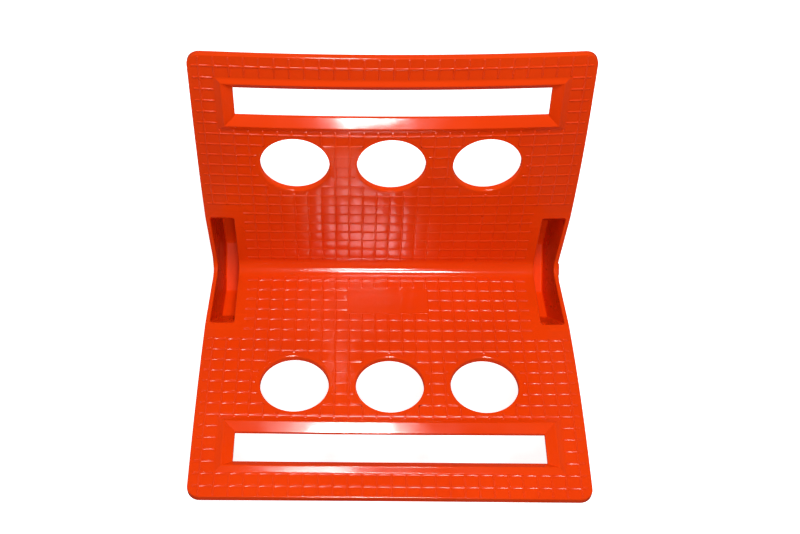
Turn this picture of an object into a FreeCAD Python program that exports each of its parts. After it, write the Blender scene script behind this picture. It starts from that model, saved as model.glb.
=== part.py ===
import FreeCAD, Part
import math
import os

# Corner protector for cargo straps: two flat wings at a right angle, joined by a
# rounded bend, with a strap slot and a row of round holes in each wing and a hollow
# strap guide on the back of the bend at each end.
#
# Row frame: origin on the floor below the middle of the bend, +X along the bend,
# +Z up and half way between the wings, +Y towards the rear wing.
# Wing frame: X along the bend, Y up the wing from the inner corner, Z out of its
# inner face. The inner face lies at Z = 0 and the outer face at Z = -WALL.

os.makedirs("parts", exist_ok=True)

# ---- driving dimensions, in millimetres and degrees ----
WIDTH = 140.0
WING_LENGTH = 106.0
WALL = 2.5
WING_SLOPE = 45.0
BEND_RADIUS = 5.0
TIP_CORNER_RADIUS = 4.5

HOLE_RADIUS = 12.5
HOLE_SPACING = 35.0
HOLE_UP = 57.0
HOLE_LIP = 0.8

SLOT_LENGTH = 110.5
SLOT_WIDTH = 12.6
SLOT_UP = 84.6

FRAME_HEIGHT = 1.15
FRAME_SLOPE = 2.1
FRAME_END_WIDTH = 5.9
FRAME_SIDE_WIDTH = 5.4
FRAME_CREST = 0.3
MOUTH_DEPTH = 1.1

GUIDE_WIDTH = 13.0
GUIDE_END = 22.5
GUIDE_WALL = 2.2
GUIDE_SIDE_WALL = 1.7
GUIDE_INNER_WALL = 2.1
GUIDE_STEP = 10.0
GUIDE_DEPTH = 20.0
OUTER_DRAFT = 2.3
INNER_DRAFT = 0.5

RIDGE_PITCH_X = 5.08
RIDGE_PITCH_UP = 5.0
RIDGE_FIRST_UP = 6.6
RIDGE_ROWS = 20
RIDGE_COLUMNS = 27
RIDGE_WIDTH = 0.8
RIDGE_HEIGHT = 0.3
RIDGE_SIDE_MARGIN = 1.5
RIDGE_TIP_MARGIN = 0.4
FRAME_GAP_X = 0.3
FRAME_GAP_UP = 0.1
GUIDE_MARGIN = 1.6
GUIDE_MARGIN_UP = 36.0
HOLE_MARGIN = 1.75

PAD_LENGTH = 31.5
PAD_LOW = 10.6
PAD_HIGH = 23.4
PAD_HEIGHT = 0.2

NUB_LENGTH = 5.0
NUB_LOW = -2.5
NUB_HIGH = 1.5

# ---- sizes worked out from them ----
HALF_WIDTH = WIDTH / 2
POCKET_END = GUIDE_END - GUIDE_WALL
SOLE_DROP = GUIDE_DEPTH + GUIDE_WALL
ROOT_X = HALF_WIDTH - GUIDE_WIDTH
POCKET_NEAR_X = ROOT_X + GUIDE_INNER_WALL
POCKET_FAR_X = HALF_WIDTH - GUIDE_SIDE_WALL
FACET_SHIFT = GUIDE_WALL * (math.sqrt(2) - 1)
REACH = 200.0
NEAR = 0.01


def vector(x, y, z):
    return FreeCAD.Vector(x, y, z)


def wire_face(points):
    return Part.Face(Part.makePolygon(points + points[:1]))


def block(low, high):
    size = [b - a for a, b in zip(low, high)]
    return Part.makeBox(size[0], size[1], size[2], vector(*low))


def on_wing(shape, rear):
    """Move a shape from the wing frame to the row frame."""
    placed = shape.copy()
    placed.rotate(vector(0, 0, 0), vector(1, 0, 0), WING_SLOPE)
    if not rear:
        placed.rotate(vector(0, 0, 0), vector(0, 0, 1), 180)
    placed.translate(vector(0, 0, SOLE_DROP))
    return placed


def rectangle(half_x, half_y, z, up):
    corners = [(-1, -1), (1, -1), (1, 1), (-1, 1)]
    points = [vector(a * half_x, up + b * half_y, z) for a, b in corners]
    return Part.makePolygon(points + points[:1])


def taper(bottom, top, z_bottom, z_top, up):
    """Solid between two rectangles, each given as its half length and half width."""
    wires = [rectangle(*bottom, z_bottom, up), rectangle(*top, z_top, up)]
    return Part.makeLoft(wires, True, True)


# ---- wings ----
def hole_centres():
    return [(i * HOLE_SPACING, HOLE_UP) for i in (-1, 0, 1)]


def hole_cutter(x, up):
    bore = Part.makeCylinder(HOLE_RADIUS, 3 * WALL, vector(x, up, -2 * WALL))
    lip = Part.makeCone(HOLE_RADIUS, HOLE_RADIUS + 2 * HOLE_LIP, 2 * HOLE_LIP,
                        vector(x, up, -HOLE_LIP))
    return bore.fuse(lip)


def slot_cutter(low, high):
    return block((-SLOT_LENGTH / 2, SLOT_UP - SLOT_WIDTH / 2, low),
                 (SLOT_LENGTH / 2, SLOT_UP + SLOT_WIDTH / 2, high))


def wing_plate():
    plate = block((-HALF_WIDTH, BEND_RADIUS, -WALL), (HALF_WIDTH, WING_LENGTH, 0))
    tips = [edge for edge in plate.Edges
            if abs(edge.CenterOfMass.y - WING_LENGTH) < NEAR
            and abs(abs(edge.CenterOfMass.x) - HALF_WIDTH) < NEAR]
    plate = plate.makeFillet(TIP_CORNER_RADIUS, tips)
    cutters = [hole_cutter(x, up) for x, up in hole_centres()]
    return plate.cut(cutters + [slot_cutter(-2 * WALL, WALL), slot_mouth()])


def frame_steps():
    """Half length and half width of the frame at its base, and about its crest."""
    base = (SLOT_LENGTH / 2 + FRAME_END_WIDTH, SLOT_WIDTH / 2 + FRAME_SIDE_WIDTH)
    crest = (base[0] - FRAME_SLOPE, base[1] - FRAME_SLOPE)
    mouth = (crest[0] - FRAME_CREST, crest[1] - FRAME_CREST)
    return base, crest, mouth


def slot_mouth():
    """The slope that opens the slot, from inside the wall up to the frame's crest."""
    mouth = frame_steps()[2]
    return taper((SLOT_LENGTH / 2, SLOT_WIDTH / 2), mouth, -MOUTH_DEPTH, FRAME_HEIGHT,
                 SLOT_UP)


def slot_frame():
    base, crest, mouth = frame_steps()
    return taper(base, crest, 0, FRAME_HEIGHT, SLOT_UP).cut(slot_mouth())


# ---- grip ridges ----
def ridge_lattice():
    edge = HALF_WIDTH - RIDGE_SIDE_MARGIN
    top = WING_LENGTH - RIDGE_TIP_MARGIN
    half = RIDGE_WIDTH / 2
    bars = []
    for row in range(RIDGE_ROWS):
        up = RIDGE_FIRST_UP + row * RIDGE_PITCH_UP
        bars.append(block((-edge, up - half, 0), (edge, up + half, RIDGE_HEIGHT)))
    for column in range(RIDGE_COLUMNS):
        x = (column - RIDGE_COLUMNS // 2) * RIDGE_PITCH_X
        bars.append(block((x - half, BEND_RADIUS, 0), (x + half, top, RIDGE_HEIGHT)))
    return bars[0].fuse(bars[1:]).removeSplitter()


def ridge_keep_out(with_pad):
    frame_x = SLOT_LENGTH / 2 + FRAME_END_WIDTH + FRAME_GAP_X
    frame_y = SLOT_WIDTH / 2 + FRAME_SIDE_WIDTH + FRAME_GAP_UP
    low, high = -WALL, WALL
    zones = [block((-frame_x, SLOT_UP - frame_y, low), (frame_x, SLOT_UP + frame_y, high))]
    for x, up in hole_centres():
        zones.append(Part.makeCylinder(HOLE_RADIUS + HOLE_MARGIN, high - low,
                                       vector(x, up, low)))
    for side in (-1, 1):
        near = side * (ROOT_X - GUIDE_MARGIN)
        far = side * REACH
        zones.append(block((min(near, far), 0, low),
                           (max(near, far), GUIDE_MARGIN_UP, high)))
    if with_pad:
        zones.append(block((-PAD_LENGTH / 2, PAD_LOW, low),
                           (PAD_LENGTH / 2, PAD_HIGH, high)))
    return zones


def blank_pad():
    return block((-PAD_LENGTH / 2, PAD_LOW, 0), (PAD_LENGTH / 2, PAD_HIGH, PAD_HEIGHT))


# ---- bend and strap guides, drawn about the inner corner ----
def lifted(shape):
    shape.translate(vector(0, 0, SOLE_DROP))
    return shape


def bend_point(radius, degrees):
    """Point on a circle about the axis of the bend, in the plane x = 0."""
    angle = math.radians(degrees)
    centre_z = BEND_RADIUS * math.sqrt(2)
    return vector(0, radius * math.sin(angle), centre_z - radius * math.cos(angle))


def bend_arc(radius, start, end):
    middle = (start + end) / 2
    return Part.Arc(bend_point(radius, start), bend_point(radius, middle),
                    bend_point(radius, end)).toShape()


def corner_bend():
    outside = BEND_RADIUS + WALL
    wire = Part.Wire([
        bend_arc(BEND_RADIUS, -WING_SLOPE, WING_SLOPE),
        Part.makeLine(bend_point(BEND_RADIUS, WING_SLOPE), bend_point(outside, WING_SLOPE)),
        bend_arc(outside, WING_SLOPE, -WING_SLOPE),
        Part.makeLine(bend_point(outside, -WING_SLOPE), bend_point(BEND_RADIUS, -WING_SLOPE)),
    ])
    strip = Part.Face(wire).extrude(vector(WIDTH, 0, 0))
    strip.translate(vector(-HALF_WIDTH, 0, 0))
    return strip


def drafted_x(rim_x, z, draft):
    """Where a side face that starts at rim_x stands at height z below the rim."""
    return rim_x + max(0.0, POCKET_END - z) * math.tan(math.radians(draft))


def side_slab(near_x, near_draft, far_x, far_draft, half_y, top):
    """Slab between two drafted side faces of the right-hand guide."""
    levels = (-SOLE_DROP, POCKET_END, top)
    near = [vector(drafted_x(near_x, z, near_draft), -half_y, z) for z in levels]
    far = [vector(drafted_x(far_x, z, far_draft), -half_y, z) for z in levels]
    return wire_face(near + far[::-1]).extrude(vector(0, 2 * half_y, 0))


def outer_corners():
    """Corners of a guide's outline in side view, from the wing down to its sole."""
    step_z = -(GUIDE_STEP + FACET_SHIFT)
    sole_y = GUIDE_END - (SOLE_DROP + step_z)
    return [(GUIDE_END, GUIDE_END), (GUIDE_END, step_z), (sole_y, -SOLE_DROP)]


def inner_corners():
    sole_y = POCKET_END - (GUIDE_DEPTH - GUIDE_STEP)
    return [(POCKET_END, -GUIDE_STEP), (sole_y, -GUIDE_DEPTH)]


def guide_prism():
    """The whole outline under the two inner faces, filled: half an octagon."""
    right = [vector(0, y, z) for y, z in outer_corners()]
    left = [vector(0, -p.y, p.z) for p in reversed(right)]
    edges = Part.makePolygon([bend_point(BEND_RADIUS, WING_SLOPE)] + right + left
                             + [bend_point(BEND_RADIUS, -WING_SLOPE)]).Edges
    wire = Part.Wire(edges + [bend_arc(BEND_RADIUS, -WING_SLOPE, WING_SLOPE)])
    return Part.Face(wire).extrude(vector(WIDTH, 0, 0))


def pocket_prism():
    right = [vector(0, POCKET_END, REACH)] + [vector(0, y, z) for y, z in inner_corners()]
    left = [vector(0, -p.y, p.z) for p in reversed(right)]
    return wire_face(right + left).extrude(vector(WIDTH, 0, 0))


def guide_region():
    """All the room a right-hand guide takes out of the wings and the bend."""
    return side_slab(ROOT_X, INNER_DRAFT, REACH, 0, GUIDE_END, REACH)


def guide_pieces():
    """Right-hand guide: wall by the strap, open channel, and wall at the outside."""
    prism = guide_prism()
    top = GUIDE_END
    inner = side_slab(ROOT_X, INNER_DRAFT, POCKET_NEAR_X, INNER_DRAFT, GUIDE_END, top)
    middle = side_slab(POCKET_NEAR_X, INNER_DRAFT, POCKET_FAR_X, -OUTER_DRAFT, GUIDE_END, top)
    outer = side_slab(POCKET_FAR_X, -OUTER_DRAFT, HALF_WIDTH, -OUTER_DRAFT, GUIDE_END, top)
    return {
        "inner_wall": prism.common(inner),
        "channel": prism.common(middle).cut(pocket_prism()),
        "outer_wall": prism.common(outer),
    }


def turned(shape):
    copy = shape.copy()
    copy.rotate(vector(0, 0, 0), vector(0, 0, 1), 180)
    return copy


def gate_nub():
    low = (HALF_WIDTH - 2 * GUIDE_SIDE_WALL, -NUB_LENGTH / 2, NUB_LOW)
    nub = block(low, (HALF_WIDTH, NUB_LENGTH / 2, NUB_HIGH))
    outside = side_slab(HALF_WIDTH, -OUTER_DRAFT, REACH, 0, GUIDE_END, GUIDE_END)
    return nub.common(outside)


# ---- build the nodes ----
regions = [guide_region(), turned(guide_region())]
raised = [lifted(region) for region in regions]
lattice = ridge_lattice()
nodes = {"corner_bend": lifted(corner_bend()).cut(raised)}

for wing, rear in (("front", False), ("rear", True)):
    nodes[wing + "_wing"] = on_wing(wing_plate(), rear).cut(raised)
    nodes[wing + "_slot_frame"] = on_wing(slot_frame(), rear)
    nodes[wing + "_grip_ridges"] = on_wing(lattice.cut(ridge_keep_out(not rear)), rear)

nodes["blank_label_pad"] = on_wing(blank_pad(), False)

right_guide = guide_pieces()
nodes["gate_nub"] = lifted(gate_nub())
for name, piece in right_guide.items():
    nodes["left_guide_" + name] = lifted(turned(piece))
    nodes["right_guide_" + name] = lifted(piece)

for name, shape in nodes.items():
    shape.exportStep("parts/" + name + ".step")
    box = shape.BoundBox
    print(name, "solids", len(shape.Solids), "valid", shape.isValid(),
          "volume", round(shape.Volume, 1), "x", round(box.XMin, 2), round(box.XMax, 2),
          "y", round(box.YMin, 2), round(box.YMax, 2),
          "z", round(box.ZMin, 2), round(box.ZMax, 2))
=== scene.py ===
import math

import bmesh
import bpy
from mathutils import Matrix, Vector


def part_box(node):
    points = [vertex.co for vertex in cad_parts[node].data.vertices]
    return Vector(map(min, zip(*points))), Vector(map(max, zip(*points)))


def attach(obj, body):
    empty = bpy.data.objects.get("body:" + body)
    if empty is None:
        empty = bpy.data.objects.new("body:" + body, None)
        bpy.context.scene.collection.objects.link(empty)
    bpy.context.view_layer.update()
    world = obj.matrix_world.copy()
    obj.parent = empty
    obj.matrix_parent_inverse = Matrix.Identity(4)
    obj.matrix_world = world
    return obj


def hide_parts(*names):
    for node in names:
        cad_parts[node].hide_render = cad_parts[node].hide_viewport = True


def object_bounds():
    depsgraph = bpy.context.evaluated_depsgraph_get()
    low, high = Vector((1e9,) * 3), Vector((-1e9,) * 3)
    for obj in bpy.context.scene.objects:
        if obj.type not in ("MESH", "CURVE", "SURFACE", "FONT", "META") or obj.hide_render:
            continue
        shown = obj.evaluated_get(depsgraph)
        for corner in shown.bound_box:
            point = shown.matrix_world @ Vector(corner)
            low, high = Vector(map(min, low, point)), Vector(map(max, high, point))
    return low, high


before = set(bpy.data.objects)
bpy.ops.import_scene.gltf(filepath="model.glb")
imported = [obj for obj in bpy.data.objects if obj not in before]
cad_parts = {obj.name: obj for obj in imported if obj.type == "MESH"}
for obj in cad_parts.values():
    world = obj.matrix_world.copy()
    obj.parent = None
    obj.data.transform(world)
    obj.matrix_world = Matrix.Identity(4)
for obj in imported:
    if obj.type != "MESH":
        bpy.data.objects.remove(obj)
cad_low, cad_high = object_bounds()

# ---- sizes, in metres, worked out from the frame where it gives them ----
MM = 0.001
WIDTH = cad_high.x - cad_low.x
HALF_WIDTH = WIDTH / 2
WALL = 2.5 * MM
SLOPE = math.radians(45)
WING_LENGTH = 106 * MM
BEND_RADIUS = 5 * MM
BEND_STEPS = 16
TIP_CORNER_RADIUS = 4.5 * MM

HOLE_RADIUS = 12.5 * MM
HOLE_SPACING = 35 * MM
HOLE_UP = 57 * MM
HOLE_LIP = 0.8 * MM
HOLE_SIDES = 96

SLOT_HALF = Vector((55.25 * MM, 6.3 * MM))
SLOT_UP = 84.6 * MM
FRAME_HALF = SLOT_HALF + Vector((5.9 * MM, 5.4 * MM))
FRAME_HEIGHT = 1.15 * MM
FRAME_SLOPE = 2.1 * MM
FRAME_CREST = 0.3 * MM
MOUTH_DEPTH = 1.1 * MM
REAR_SLOT_RISE = 0.8 * MM

GUIDE_END = 22.5 * MM
GUIDE_WALL = 2.2 * MM
GUIDE_DEPTH = 20 * MM
GUIDE_STEP = 10 * MM
POCKET_END = GUIDE_END - GUIDE_WALL
SOLE_DROP = GUIDE_DEPTH + GUIDE_WALL
ROOT_X = HALF_WIDTH - 13 * MM
POCKET_NEAR_X = ROOT_X + 2.1 * MM
POCKET_FAR_X = HALF_WIDTH - 1.7 * MM
OUTER_DRAFT = math.tan(math.radians(2.3))
INNER_DRAFT = math.tan(math.radians(0.5))

RIDGE_PITCH = Vector((5.08 * MM, 5 * MM))
RIDGE_FIRST_UP = 6.6 * MM
RIDGE_ROWS = 20
RIDGE_COLUMNS = 27
RIDGE_WIDTH = 0.8 * MM
RIDGE_HEIGHT = 0.3 * MM
RIDGE_SUNK = 0.1 * MM
RIDGE_CHAMFER = 0.26 * MM
RIDGE_FLATTEN = 0.84
RIDGE_MARGIN = 1.5 * MM
RIDGE_TIP_MARGIN = 0.4 * MM
GUIDE_MARGIN = 1.6 * MM
GUIDE_MARGIN_UP = 36 * MM
HOLE_MARGIN = 1.75 * MM
FRAME_GAP = Vector((0.3, 0.1)) * MM

PAD_HALF_LENGTH = 15.75 * MM
PAD_LOW = 10.6 * MM
PAD_HIGH = 23.4 * MM
PAD_HEIGHT = 0.2 * MM

EDGE_ROUND = 0.4 * MM
POCKET_ROUND = 0.8 * MM
LIP_STEPS = 5
PROUD = 0.03 * MM
GUIDE_INSET = 0.05 * MM
REAR_BOW = 2.6 * MM
FRONT_BOW = 0.2 * MM
REAR_BELLY = 0.8 * MM
FRONT_BELLY = -1.2 * MM
REAR_TWIST = 1.35 * MM
FRONT_SPLAY = 1.5 * MM
SIDE_BULGE = 0.75 * MM
SIDE_SHIFT = 0.3 * MM
CUT_SPACING = 8 * MM
FRAME_SUNK = 0.8 * MM
PAD_EDGE_ROUND = 0.12 * MM
NUB_EDGE_ROUND = 0.5 * MM
NUB_SUNK = 0.8 * MM
FAR = 300 * MM
TINY = 0.001 * MM
BEND_END = BEND_RADIUS * math.sin(SLOPE)
BEND_AXIS_HEIGHT = SOLE_DROP + BEND_RADIUS * math.sqrt(2)

# ---- finish: colours, roughness and the height of its small unevenness ----
DEEP_ORANGE = (0.80, 0.045, 0.0012, 1)
CLEAR_ORANGE = (0.86, 0.054, 0.0018, 1)
GLOSS_RANGE = (0.08, 0.13)
RIDGE_GLOSS_RANGE = (0.22, 0.28)
FLOW_WAVE = 0.05 * MM
CELL_TILT = 0.08 * MM
CELL_ROWS = 8.0
CELL_COLUMNS = 22.0
HOLLOW_GLOSS_RANGE = (0.25, 0.31)
HOLLOW_SPECULAR = 0.05
ORANGE_PEEL = 0.001 * MM
PLASTIC_IOR = 1.49

# ---- studio and camera, in metres, watts, millimetres and degrees ----
LIGHT_AIM = Vector((0, 0, 0.06))
SOFT_LIGHTS = (("camera_box", (0.002, -0.012, 0.56), (0.066, 0.056), 0.98),
               ("rear_box", (0.03, 0.25, 0.61), (0.11, 0.11), 2.0),
               ("small_box", (-0.025, 0.125, 0.61), (0.06, 0.05), 0.25))
WORLD_STRENGTH = 0.05
FLOOR_SIZE = 16
FLOOR_GLOW = 0.9
BACKDROP_RADIUS = 7
BACKDROP_HEIGHT = 8
BACKDROP_GLOW = 0.95
CAMERA_PLACE = (-0.01416, 0.01654, 0.46431 + SOLE_DROP)
CAMERA_TILT_X, CAMERA_TILT_Y, CAMERA_ROLL = 1.96, 2.41, -0.26
LENS = 51.76
SENSOR_WIDTH = 36


# ---- small modelling helpers ----
def select_only(piece):
    bpy.ops.object.select_all(action="DESELECT")
    piece.select_set(True)
    bpy.context.view_layer.objects.active = piece


def select_parts(piece, kind, wanted):
    """Edit mode on one piece, with only the faces or edges chosen that the test wants."""
    select_only(piece)
    bpy.ops.object.mode_set(mode="EDIT")
    bpy.ops.mesh.select_mode(type=kind)
    bpy.ops.mesh.select_all(action="DESELECT")
    mesh = bmesh.from_edit_mesh(piece.data)
    for part in {"FACE": mesh.faces, "EDGE": mesh.edges, "VERT": mesh.verts}[kind]:
        part.select = wanted(part)
    mesh.select_flush_mode()
    bmesh.update_edit_mesh(piece.data)


def leave_edit():
    bpy.ops.object.mode_set(mode="OBJECT")


def centre_of(part):
    corners = part.verts
    return sum((v.co for v in corners), Vector()) / len(corners)


def block(name, low, high):
    """A cube primitive stretched between two corners, with its place in its mesh."""
    low, high = Vector(low), Vector(high)
    bpy.ops.mesh.primitive_cube_add(size=1, location=(low + high) / 2)
    piece = bpy.context.object
    piece.name = name
    piece.scale = high - low
    bpy.ops.object.transform_apply(location=True, rotation=True, scale=True)
    return piece


def modifier(piece, kind, **values):
    select_only(piece)
    step = piece.modifiers.new(kind.title(), kind)
    for key, value in values.items():
        setattr(step, key, value)
    bpy.ops.object.modifier_apply(modifier=step.name)


def combine(piece, tool, operation):
    modifier(piece, "BOOLEAN", object=tool, operation=operation, solver="EXACT")
    bpy.data.objects.remove(tool, do_unlink=True)


def on_wing(piece, rear, rise=0):
    """Takes a piece from the wing's own frame (X along, Y up the wing, Z out of it)."""
    turn = Matrix.Rotation(SLOPE, 4, "X") @ Matrix.Translation((0, rise if rear else 0, 0))
    if not rear:
        turn = Matrix.Rotation(math.pi, 4, "Z") @ turn
    piece.data.transform(Matrix.Translation((0, 0, SOLE_DROP)) @ turn)
    piece.data.update()
    return piece


def merge(piece):
    select_parts(piece, "VERT", lambda v: True)
    bpy.ops.mesh.remove_doubles(threshold=0.004 * MM)
    bpy.ops.mesh.normals_make_consistent(inside=False)
    leave_edit()


def join_flats(piece):
    """Joins the coplanar faces that a cut has left, where no face has a hole in it."""
    merge(piece)
    select_parts(piece, "FACE", lambda f: True)
    bpy.ops.mesh.dissolve_limited(angle_limit=math.radians(0.2))
    leave_edit()


# ---- the moulding: wings and bend as one folded sheet ----
def folded_sheet():
    flat = WING_LENGTH - BEND_RADIUS
    bpy.ops.mesh.primitive_plane_add(size=1, location=(0, BEND_RADIUS + flat / 2, 0))
    sheet = bpy.context.object
    sheet.name = "corner_protector_shell"
    sheet.scale = (WIDTH, flat, 1)
    bpy.ops.object.transform_apply(location=True, rotation=True, scale=True)
    on_wing(sheet, True)

    select_parts(sheet, "EDGE", lambda e: all(v.co.y < BEND_END * 1.01 for v in e.verts))
    bpy.ops.mesh.spin(steps=BEND_STEPS, angle=math.pi / 2, center=(0, 0, BEND_AXIS_HEIGHT),
                      axis=(1, 0, 0))
    leave_edit()
    select_parts(sheet, "EDGE", lambda e: all(v.co.y < -BEND_END * 0.99 for v in e.verts))
    away = Vector((0, -math.cos(SLOPE), math.sin(SLOPE))) * flat
    bpy.ops.mesh.extrude_region_move(TRANSFORM_OT_translate={"value": away})
    leave_edit()

    tip = (WING_LENGTH - 1 * MM) * math.cos(SLOPE)
    select_parts(sheet, "VERT", lambda v: abs(v.co.y) > tip)
    bpy.ops.mesh.bevel(offset=TIP_CORNER_RADIUS, segments=8, affect="VERTICES")
    bpy.ops.mesh.select_all(action="SELECT")
    bpy.ops.mesh.remove_doubles(threshold=TINY)
    bpy.ops.mesh.normals_make_consistent(inside=False)
    leave_edit()
    up = sum(face.normal.z for face in sheet.data.polygons)
    modifier(sheet, "SOLIDIFY", thickness=WALL, offset=-1 if up > 0 else 1,
             use_even_offset=True)
    return sheet


# ---- strap guides ----
def cargo_wedge():
    """The corner that the wings close round, set a little deep into their walls."""
    wedge = block("wedge", (-FAR / 2, 0, 0), (FAR / 2, FAR / 2, FAR / 2))
    select_parts(wedge, "EDGE", lambda e: all(abs(v.co.y) + abs(v.co.z) < MM
                                              for v in e.verts))
    bpy.ops.mesh.bevel(offset=BEND_RADIUS, segments=BEND_STEPS, affect="EDGES")
    leave_edit()
    on_wing(wedge, True)
    wedge.data.transform(Matrix.Translation((0, 0, -WALL / 2)))
    return wedge


def octagon_block(name, x_near, x_far, end, step, depth, top, drafts):
    """Block with its two lower long edges cut off at 45 degrees and drafted sides."""
    piece = block(name, (x_near, -end, -depth), (x_far, end, top))
    select_parts(piece, "EDGE", lambda e: all(v.co.z < 0 for v in e.verts)
                 and abs(e.verts[0].co.y - e.verts[1].co.y) < MM)
    bpy.ops.mesh.bevel(offset=depth - step, segments=1, affect="EDGES")
    leave_edit()
    middle = (x_near + x_far) / 2
    for v in piece.data.vertices:
        drop = POCKET_END - v.co.z
        v.co.x += drop * (drafts[0] if v.co.x < middle else -drafts[1])
        v.co.z += SOLE_DROP
    return piece


def turned(piece):
    piece.data.transform(Matrix.Rotation(math.pi, 4, "Z"))
    return piece


def add_guides(shell):
    step = GUIDE_STEP + GUIDE_WALL * (math.sqrt(2) - 1)
    for right in (True, False):
        guide = octagon_block("guide", ROOT_X, HALF_WIDTH - GUIDE_INSET, GUIDE_END, step,
                              SOLE_DROP, GUIDE_END, (INNER_DRAFT, 0))
        combine(guide, cargo_wedge(), "DIFFERENCE")
        combine(shell, guide if right else turned(guide), "UNION")
    for side in (1, -1):
        select_parts(shell, "FACE", lambda f: True)
        rim = Vector((side * HALF_WIDTH, 0, SOLE_DROP + POCKET_END))
        out = Vector((side, 0, -OUTER_DRAFT))
        bpy.ops.mesh.bisect(plane_co=rim, plane_no=out, use_fill=True, clear_outer=True)
        leave_edit()


def inner_gap(point):
    """Distance of a point from the inner faces of the wings and the bend."""
    side, height = abs(point.y), point.z - SOLE_DROP
    if side < BEND_END:
        return abs(math.hypot(side, BEND_AXIS_HEIGHT - point.z) - BEND_RADIUS)
    return abs(height - side) / math.sqrt(2)


def hollow_guides(shell):
    for right in (True, False):
        pocket = octagon_block("pocket", POCKET_NEAR_X, POCKET_FAR_X, POCKET_END,
                               GUIDE_STEP, GUIDE_DEPTH, 2 * GUIDE_END,
                               (INNER_DRAFT, OUTER_DRAFT))
        select_parts(pocket, "EDGE", lambda e: any(v.co.z < SOLE_DROP + GUIDE_END
                                                   for v in e.verts))
        bpy.ops.mesh.bevel(offset=POCKET_ROUND, segments=3, affect="EDGES")
        leave_edit()
        combine(shell, pocket if right else turned(pocket), "DIFFERENCE")
    join_flats(shell)
    near, far = POCKET_NEAR_X - MM / 2, POCKET_FAR_X + MM / 2

    def on_rim(edge):
        inside = all(near < abs(v.co.x) < far and abs(v.co.y) < POCKET_END + MM / 2
                     and inner_gap(v.co) < 0.05 * MM for v in edge.verts)
        return inside and edge.calc_face_angle(0) > math.radians(20)

    select_parts(shell, "EDGE", on_rim)
    bpy.ops.mesh.bevel(offset=EDGE_ROUND, segments=3, affect="EDGES")
    leave_edit()


# ---- slots with raised frames, and holes ----
def grow(piece, up, centre, steps, size):
    """Carries an end face on through steps of (height, half length, half width)."""
    for z, half_x, half_y in steps:
        select_parts(piece, "FACE", lambda f: f.normal.z * up > 0.9
                     and abs(centre_of(f).z - size[0]) < TINY)
        bpy.ops.mesh.extrude_region_move(
            TRANSFORM_OT_translate={"value": (0, 0, z - size[0])})
        bpy.ops.transform.resize(value=(half_x / size[1], half_y / size[2], 1),
                                 center_override=(*centre, z))
        leave_edit()
        size = (z, half_x, half_y)


def rounded_lip(half_x, half_y, radius, up):
    """Steps of a quarter round that opens a hole towards the face at height up."""
    steps = []
    for i in range(1, LIP_STEPS + 1):
        turn = math.pi / 2 * i / LIP_STEPS
        out = radius * (1 - math.cos(turn))
        steps.append((up + radius * (math.sin(turn) - 1) + PROUD, half_x + out, half_y + out))
    return steps


def mirrored(steps, middle):
    return [(2 * middle - z, half_x, half_y) for z, half_x, half_y in steps]


def slot_tool():
    low, high = -WALL * 0.7, -MOUTH_DEPTH
    tool = block("slot", (-SLOT_HALF.x, SLOT_UP - SLOT_HALF.y, low),
                 (SLOT_HALF.x, SLOT_UP + SLOT_HALF.y, high))
    mouth = FRAME_HALF - Vector((1, 1)) * (FRAME_SLOPE + FRAME_CREST)
    past = SLOT_HALF + (mouth - SLOT_HALF) * ((1.5 * FRAME_HEIGHT + MOUTH_DEPTH)
                                              / (FRAME_HEIGHT + MOUTH_DEPTH))
    grow(tool, 1, (0, SLOT_UP), [(1.5 * FRAME_HEIGHT, *past)], (high, *SLOT_HALF))
    lip = mirrored(rounded_lip(*SLOT_HALF, EDGE_ROUND, 0), -WALL / 2)
    grow(tool, -1, (0, SLOT_UP), lip + [(-2 * WALL, lip[-1][1], lip[-1][2])],
         (low, *SLOT_HALF))
    return tool


def frame_block():
    """The raised frame as one sloping block, sunk a little into the wing."""
    slope = FRAME_SLOPE / FRAME_HEIGHT
    base = FRAME_HALF + Vector((1, 1)) * FRAME_SUNK * slope
    crest = FRAME_HALF - Vector((1, 1)) * FRAME_SLOPE
    piece = block("frame", (-base.x, SLOT_UP - base.y, -2 * FRAME_SUNK),
                  (base.x, SLOT_UP + base.y, -FRAME_SUNK))
    grow(piece, 1, (0, SLOT_UP), [(FRAME_HEIGHT, *crest)], (-FRAME_SUNK, *base))
    select_parts(piece, "EDGE", lambda e: all(v.co.z > FRAME_HEIGHT / 2 for v in e.verts))
    bpy.ops.mesh.bevel(offset=FRAME_CREST / 2, segments=3, affect="EDGES")
    leave_edit()
    return piece


def hole_tool(x):
    low, high = -WALL * 0.6, -WALL * 0.5
    bpy.ops.mesh.primitive_cylinder_add(vertices=HOLE_SIDES, radius=HOLE_RADIUS,
                                        depth=high - low,
                                        location=(x, HOLE_UP, (low + high) / 2))
    tool = bpy.context.object
    bpy.ops.object.transform_apply(location=True, rotation=True, scale=True)
    round_half = (HOLE_RADIUS, HOLE_RADIUS)
    top = rounded_lip(*round_half, HOLE_LIP, 0)
    under = mirrored(rounded_lip(*round_half, EDGE_ROUND, 0), -WALL / 2)
    grow(tool, 1, (x, HOLE_UP), top + [(WALL, top[-1][1], top[-1][2])], (high, *round_half))
    grow(tool, -1, (x, HOLE_UP), under + [(-2 * WALL, under[-1][1], under[-1][2])],
         (low, *round_half))
    return tool


def open_wings(shell):
    for rear in (False, True):
        combine(shell, on_wing(frame_block(), rear, REAR_SLOT_RISE), "UNION")
        combine(shell, on_wing(slot_tool(), rear, REAR_SLOT_RISE), "DIFFERENCE")
        for place in (-1, 0, 1):
            combine(shell, on_wing(hole_tool(place * HOLE_SPACING), rear), "DIFFERENCE")


def smooth(piece, degrees):
    select_only(piece)
    bpy.ops.object.shade_smooth_by_angle(angle=math.radians(degrees))
    modifier(piece, "WEIGHTED_NORMAL", mode="FACE_AREA", keep_sharp=True)


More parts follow.
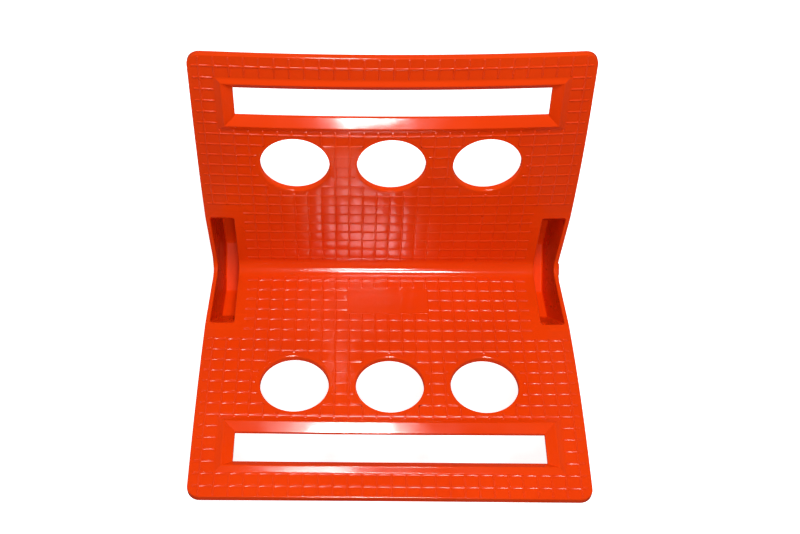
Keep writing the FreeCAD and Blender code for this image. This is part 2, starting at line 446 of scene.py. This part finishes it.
def warp(piece):
    """Moulding shrinkage: the wings bow, bulge and twist a little."""
    for v in piece.data.vertices:
        along = (abs(v.co.y) + v.co.z - SOLE_DROP) / math.sqrt(2) / WING_LENGTH
        along = min(max(along, 0), 1)
        place = v.co.x / HALF_WIDTH
        across = 1 - place ** 2
        waist = math.sin(math.pi * along)
        if v.co.y > 0:
            lift = across * (REAR_BOW * along + REAR_BELLY * waist ** 2)
            lift -= REAR_TWIST * place * along
        else:
            lift = across * (FRONT_BOW * along + FRONT_BELLY * waist ** 2)
            lift -= FRONT_SPLAY * (1 + place) * along
        v.co.x += waist * (SIDE_BULGE * place + SIDE_SHIFT)
        v.co.y -= (lift if v.co.y > 0 else -lift) * math.sin(SLOPE)
        v.co.z += lift * math.cos(SLOPE)
    piece.data.update()


def cross_cuts(piece):
    """Even cuts across the sheet, so that its faces can follow the bow."""
    select_parts(piece, "FACE", lambda f: True)
    count = round(WIDTH / CUT_SPACING)
    for i in range(1, count):
        place = (WIDTH * (i / count - 0.5), 0, 0)
        bpy.ops.mesh.select_all(action="SELECT")
        bpy.ops.mesh.bisect(plane_co=place, plane_no=(1, 0, 0))
    for rear in (-1, 1):
        way = Vector((0, rear * math.cos(SLOPE), math.sin(SLOPE)))
        for i in range(3, round(WING_LENGTH / CUT_SPACING)):
            bpy.ops.mesh.select_all(action="SELECT")
            bpy.ops.mesh.bisect(plane_co=Vector((0, 0, SOLE_DROP)) + way * i * CUT_SPACING,
                                plane_no=way)
    leave_edit()


def moulded_shell():
    shell = folded_sheet()
    add_guides(shell)
    join_flats(shell)
    modifier(shell, "BEVEL", width=EDGE_ROUND, segments=3, limit_method="ANGLE",
             angle_limit=math.radians(24), use_clamp_overlap=False)
    hollow_guides(shell)
    open_wings(shell)
    merge(shell)
    cross_cuts(shell)
    warp(shell)
    smooth(shell, 30)
    return shell


# ---- grip ridges ----
def ridge_lines(first, pitch, count, low, high):
    """Ends of the field, and the two edges of every ridge that crosses it."""
    lines = [low]
    for i in range(count):
        middle = first + i * pitch
        lines += [middle - RIDGE_WIDTH / 2, middle + RIDGE_WIDTH / 2]
    return lines + [high]


def ridge_lattice(name):
    edge = HALF_WIDTH - RIDGE_MARGIN
    first_x = -(RIDGE_COLUMNS // 2) * RIDGE_PITCH.x
    xs = ridge_lines(first_x, RIDGE_PITCH.x, RIDGE_COLUMNS, -edge, edge)
    ups = ridge_lines(RIDGE_FIRST_UP, RIDGE_PITCH.y, RIDGE_ROWS, BEND_RADIUS,
                      WING_LENGTH - RIDGE_TIP_MARGIN)
    bpy.ops.mesh.primitive_grid_add(x_subdivisions=len(xs) - 1, y_subdivisions=len(ups) - 1,
                                    size=1, location=(0, 0, -RIDGE_SUNK))
    lattice = bpy.context.object
    lattice.name = name
    bpy.ops.object.transform_apply(location=True, rotation=True, scale=True)
    for v in lattice.data.vertices:
        v.co.x = xs[round((v.co.x + 0.5) * (len(xs) - 1))]
        v.co.y = ups[round((v.co.y + 0.5) * (len(ups) - 1))]
    wide = RIDGE_WIDTH * 1.01

    def cell(face):
        size = [max(v.co[i] for v in face.verts) - min(v.co[i] for v in face.verts)
                for i in (0, 1)]
        return min(size) > wide

    select_parts(lattice, "FACE", cell)
    bpy.ops.mesh.delete(type="FACE")
    leave_edit()
    modifier(lattice, "SOLIDIFY", offset=1,
             thickness=(RIDGE_HEIGHT + RIDGE_SUNK) / RIDGE_FLATTEN)
    return lattice


def grip_ridges(rear):
    lattice = ridge_lattice("rear_wing_grip_grid" if rear else "front_wing_grip_grid")
    edge = FRAME_HALF + FRAME_GAP
    up = SLOT_UP + (REAR_SLOT_RISE if rear else 0)
    tools = [block("tool", (-edge.x, up - edge.y, -WALL), (edge.x, up + edge.y, WALL))]
    for place in (-1, 0, 1):
        bpy.ops.mesh.primitive_cylinder_add(vertices=HOLE_SIDES, depth=WALL,
                                            radius=HOLE_RADIUS + HOLE_MARGIN,
                                            location=(place * HOLE_SPACING, HOLE_UP, 0))
        tools.append(bpy.context.object)
        bpy.ops.object.transform_apply(location=True, rotation=True, scale=True)
    for low, high in ((-FAR, GUIDE_MARGIN - ROOT_X), (ROOT_X - GUIDE_MARGIN, FAR)):
        tools.append(block("tool", (low, 0, -WALL), (high, GUIDE_MARGIN_UP, WALL)))
    if not rear:
        tools.append(block("tool", (-PAD_HALF_LENGTH, PAD_LOW, -WALL),
                           (PAD_HALF_LENGTH, PAD_HIGH, WALL)))
    for tool in tools:
        combine(lattice, tool, "DIFFERENCE")
    merge(lattice)
    modifier(lattice, "BEVEL", width=RIDGE_CHAMFER, segments=1, limit_method="ANGLE",
             angle_limit=math.radians(50), use_clamp_overlap=False)
    for v in lattice.data.vertices:
        v.co.z = (v.co.z + RIDGE_SUNK) * RIDGE_FLATTEN - RIDGE_SUNK
    warp(on_wing(lattice, rear))
    smooth(lattice, 30)
    return lattice


def label_pad():
    pad = block("smooth_label_pad", (-PAD_HALF_LENGTH, PAD_LOW, -RIDGE_SUNK),
                (PAD_HALF_LENGTH, PAD_HIGH, PAD_HEIGHT))
    modifier(pad, "BEVEL", width=PAD_EDGE_ROUND, segments=2)
    warp(on_wing(pad, False))
    smooth(pad, 40)
    return pad


def gate_nub():
    low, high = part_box("gate_nub")
    low.x = HALF_WIDTH - GUIDE_WALL / 2 - NUB_SUNK
    nub = block("moulding_gate_stub", low, high)
    modifier(nub, "BEVEL", width=NUB_EDGE_ROUND, segments=3)
    smooth(nub, 40)
    return nub


# ---- material ----
def moulded_plastic(name, gloss_range, specular=0.5, cell_tilt=0.0):
    """Glossy orange plastic; the cells of the grip grid lie a little unevenly."""
    material = bpy.data.materials.new(name)
    material.use_nodes = True
    nodes, links = material.node_tree.nodes, material.node_tree.links
    shader = nodes["Principled BSDF"]
    shader.inputs["IOR"].default_value = PLASTIC_IOR
    shader.inputs["Specular IOR Level"].default_value = specular
    place = nodes.new("ShaderNodeTexCoord").outputs["Object"]

    def math_node(operation, first, second=0.0):
        node = nodes.new("ShaderNodeMath")
        node.operation = operation
        for socket, value in zip(node.inputs, (first, second)):
            if isinstance(value, float):
                socket.default_value = value
            else:
                links.new(value, socket)
        return node.outputs["Value"]

    def noise(scale, detail, source=place):
        node = nodes.new("ShaderNodeTexNoise")
        node.inputs["Scale"].default_value = scale
        node.inputs["Detail"].default_value = detail
        links.new(source, node.inputs["Vector"])
        return node.outputs["Fac"]

    def ramp(source, low, high):
        node = nodes.new("ShaderNodeMapRange")
        node.inputs["From Min"].default_value = 0.3
        node.inputs["From Max"].default_value = 0.7
        node.inputs["To Min"].default_value = low
        node.inputs["To Max"].default_value = high
        links.new(source, node.inputs["Value"])
        return node.outputs["Result"]

    def bump(height, distance, under=None):
        node = nodes.new("ShaderNodeBump")
        node.inputs["Strength"].default_value = 1
        node.inputs["Distance"].default_value = distance
        links.new(height, node.inputs["Height"])
        if under is not None:
            links.new(under, node.inputs["Normal"])
        return node.outputs["Normal"]

    colour = nodes.new("ShaderNodeMix")
    colour.data_type = "RGBA"
    colour.inputs["A"].default_value = DEEP_ORANGE
    colour.inputs["B"].default_value = CLEAR_ORANGE
    links.new(ramp(noise(28, 3), 0, 1), colour.inputs["Factor"])
    links.new(colour.outputs["Result"], shader.inputs["Base Color"])
    links.new(ramp(noise(60, 2), *gloss_range), shader.inputs["Roughness"])

    normal = bump(noise(90, 1), FLOW_WAVE)
    if cell_tilt:
        split = nodes.new("ShaderNodeSeparateXYZ")
        links.new(place, split.inputs["Vector"])
        x, y, z = split.outputs
        up = math_node("ADD", math_node("ABSOLUTE", y), z)
        up = math_node("SUBTRACT", math_node("MULTIPLY", up, math.sqrt(0.5)),
                       SOLE_DROP * math.sqrt(0.5) + RIDGE_FIRST_UP)
        along = math_node("DIVIDE", x, RIDGE_PITCH.x)
        up = math_node("DIVIDE", up, RIDGE_PITCH.y)
        key = nodes.new("ShaderNodeCombineXYZ")
        links.new(math_node("FLOOR", along), key.inputs["X"])
        links.new(math_node("FLOOR", up), key.inputs["Y"])
        links.new(math_node("SIGN", y), key.inputs["Z"])
        chance = nodes.new("ShaderNodeTexWhiteNoise")
        links.new(key.outputs["Vector"], chance.inputs["Vector"])
        lean = nodes.new("ShaderNodeSeparateXYZ")
        links.new(chance.outputs["Color"], lean.inputs["Vector"])
        heights = []
        for where, amount in ((along, lean.outputs["X"]), (up, lean.outputs["Y"])):
            inside = math_node("SUBTRACT", math_node("FRACT", where), 0.5)
            slope = math_node("MULTIPLY", math_node("SUBTRACT", amount, 0.5), inside)
            crown = math_node("MULTIPLY", math_node("MULTIPLY", inside, inside), 2.0)
            heights.append(math_node("SUBTRACT", slope, crown))
        height = math_node("ADD", *heights)
        off_middle = math_node("ABSOLUTE", along)
        for wanted in (math_node("GREATER_THAN", y, 0.0),
                       math_node("GREATER_THAN", up, 0.0),
                       math_node("LESS_THAN", up, CELL_ROWS),
                       math_node("LESS_THAN", off_middle, CELL_COLUMNS / 2)):
            height = math_node("MULTIPLY", height, wanted)
        normal = bump(height, cell_tilt, normal)
    normal = bump(noise(1500, 2), ORANGE_PEEL, normal)
    links.new(normal, shader.inputs["Normal"])
    return material


def dull_the_hollows(shell, plastic):
    """Gives the inside of the strap guides a duller finish than the wings."""
    shell.data.materials.append(plastic)
    slack = MM / 2
    for face in shell.data.polygons:
        x, y, z = face.center
        faces_up_or_sideways = face.normal.z > -0.1
        if (faces_up_or_sideways and z > GUIDE_WALL / 2
                and POCKET_NEAR_X - slack < abs(x) < POCKET_FAR_X + slack
                and abs(y) < POCKET_END + slack):
            face.material_index = 1


# ---- the pieces ----
wing_plastic = moulded_plastic("orange_plastic_wings", GLOSS_RANGE, cell_tilt=CELL_TILT)
hollow_plastic = moulded_plastic("orange_plastic_guide_hollows", HOLLOW_GLOSS_RANGE,
                                 specular=HOLLOW_SPECULAR)
ridge_plastic = moulded_plastic("orange_plastic_ridges", RIDGE_GLOSS_RANGE)
shell_nodes = [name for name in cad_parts
               if "ridges" not in name and name not in ("blank_label_pad", "gate_nub")]
pieces = [(moulded_shell(), shell_nodes)]
for rear, name in ((False, "front_grip_ridges"), (True, "rear_grip_ridges")):
    pieces.append((grip_ridges(rear), [name]))
pieces.append((label_pad(), ["blank_label_pad"]))
pieces.append((gate_nub(), ["gate_nub"]))
for piece, stands_for in pieces:
    piece.data.materials.clear()
    ridges = "ridges" in stands_for[0]
    piece.data.materials.append(ridge_plastic if ridges else wing_plastic)
    if stands_for == shell_nodes:
        dull_the_hollows(piece, hollow_plastic)
    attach(piece, "root")
    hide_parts(*stands_for)


# ---- floor, light and camera ----
def pale_surface(name, strength):
    material = bpy.data.materials.new(name)
    material.use_nodes = True
    shader = material.node_tree.nodes["Principled BSDF"]
    shader.inputs["Base Color"].default_value = (0.9, 0.9, 0.9, 1)
    shader.inputs["Roughness"].default_value = 0.9
    shader.inputs["Specular IOR Level"].default_value = 0.1
    shader.inputs["Emission Color"].default_value = (1, 1, 1, 1)
    shader.inputs["Emission Strength"].default_value = strength
    return material


def floor_and_backdrop():
    bpy.ops.mesh.primitive_plane_add(size=FLOOR_SIZE, location=(0, 0, 0))
    floor = bpy.context.object
    floor.name = "floor"
    floor.data.materials.append(pale_surface("pale_floor", FLOOR_GLOW))
    floor.visible_glossy = False
    bpy.ops.mesh.primitive_cylinder_add(vertices=64, radius=BACKDROP_RADIUS,
                                        depth=BACKDROP_HEIGHT, location=(0, 0, 0))
    backdrop = bpy.context.object
    backdrop.name = "backdrop"
    backdrop.data.materials.append(pale_surface("pale_backdrop", BACKDROP_GLOW))
    backdrop.visible_glossy = False
    backdrop.visible_diffuse = False
    backdrop.visible_shadow = False


def soft_light(name, place, size, power):
    data = bpy.data.lights.new(name, "AREA")
    data.shape = "RECTANGLE"
    data.size, data.size_y = size
    data.energy = power
    light = bpy.data.objects.new(name, data)
    bpy.context.scene.collection.objects.link(light)
    light.location = place
    aim = LIGHT_AIM - Vector(place)
    light.rotation_euler = aim.to_track_quat("-Z", "Y").to_euler()


def studio():
    world = bpy.data.worlds.new("studio")
    world.use_nodes = True
    background = world.node_tree.nodes["Background"]
    background.inputs["Color"].default_value = (1, 1, 1, 1)
    background.inputs["Strength"].default_value = WORLD_STRENGTH
    bpy.context.scene.world = world
    for settings in SOFT_LIGHTS:
        soft_light(*settings)


def camera():
    data = bpy.data.cameras.new("camera")
    data.lens = LENS
    data.sensor_width = SENSOR_WIDTH
    cam = bpy.data.objects.new("camera", data)
    bpy.context.scene.collection.objects.link(cam)
    cam.location = CAMERA_PLACE
    turn = (Matrix.Rotation(math.radians(CAMERA_ROLL), 3, "Z")
            @ Matrix.Rotation(math.radians(CAMERA_TILT_Y), 3, "Y")
            @ Matrix.Rotation(math.radians(CAMERA_TILT_X), 3, "X"))
    cam.rotation_mode = "QUATERNION"
    cam.rotation_quaternion = turn.transposed().to_quaternion()
    bpy.context.scene.camera = cam


floor_and_backdrop()
studio()
camera()
bpy.context.scene.view_settings.view_transform = "Standard"
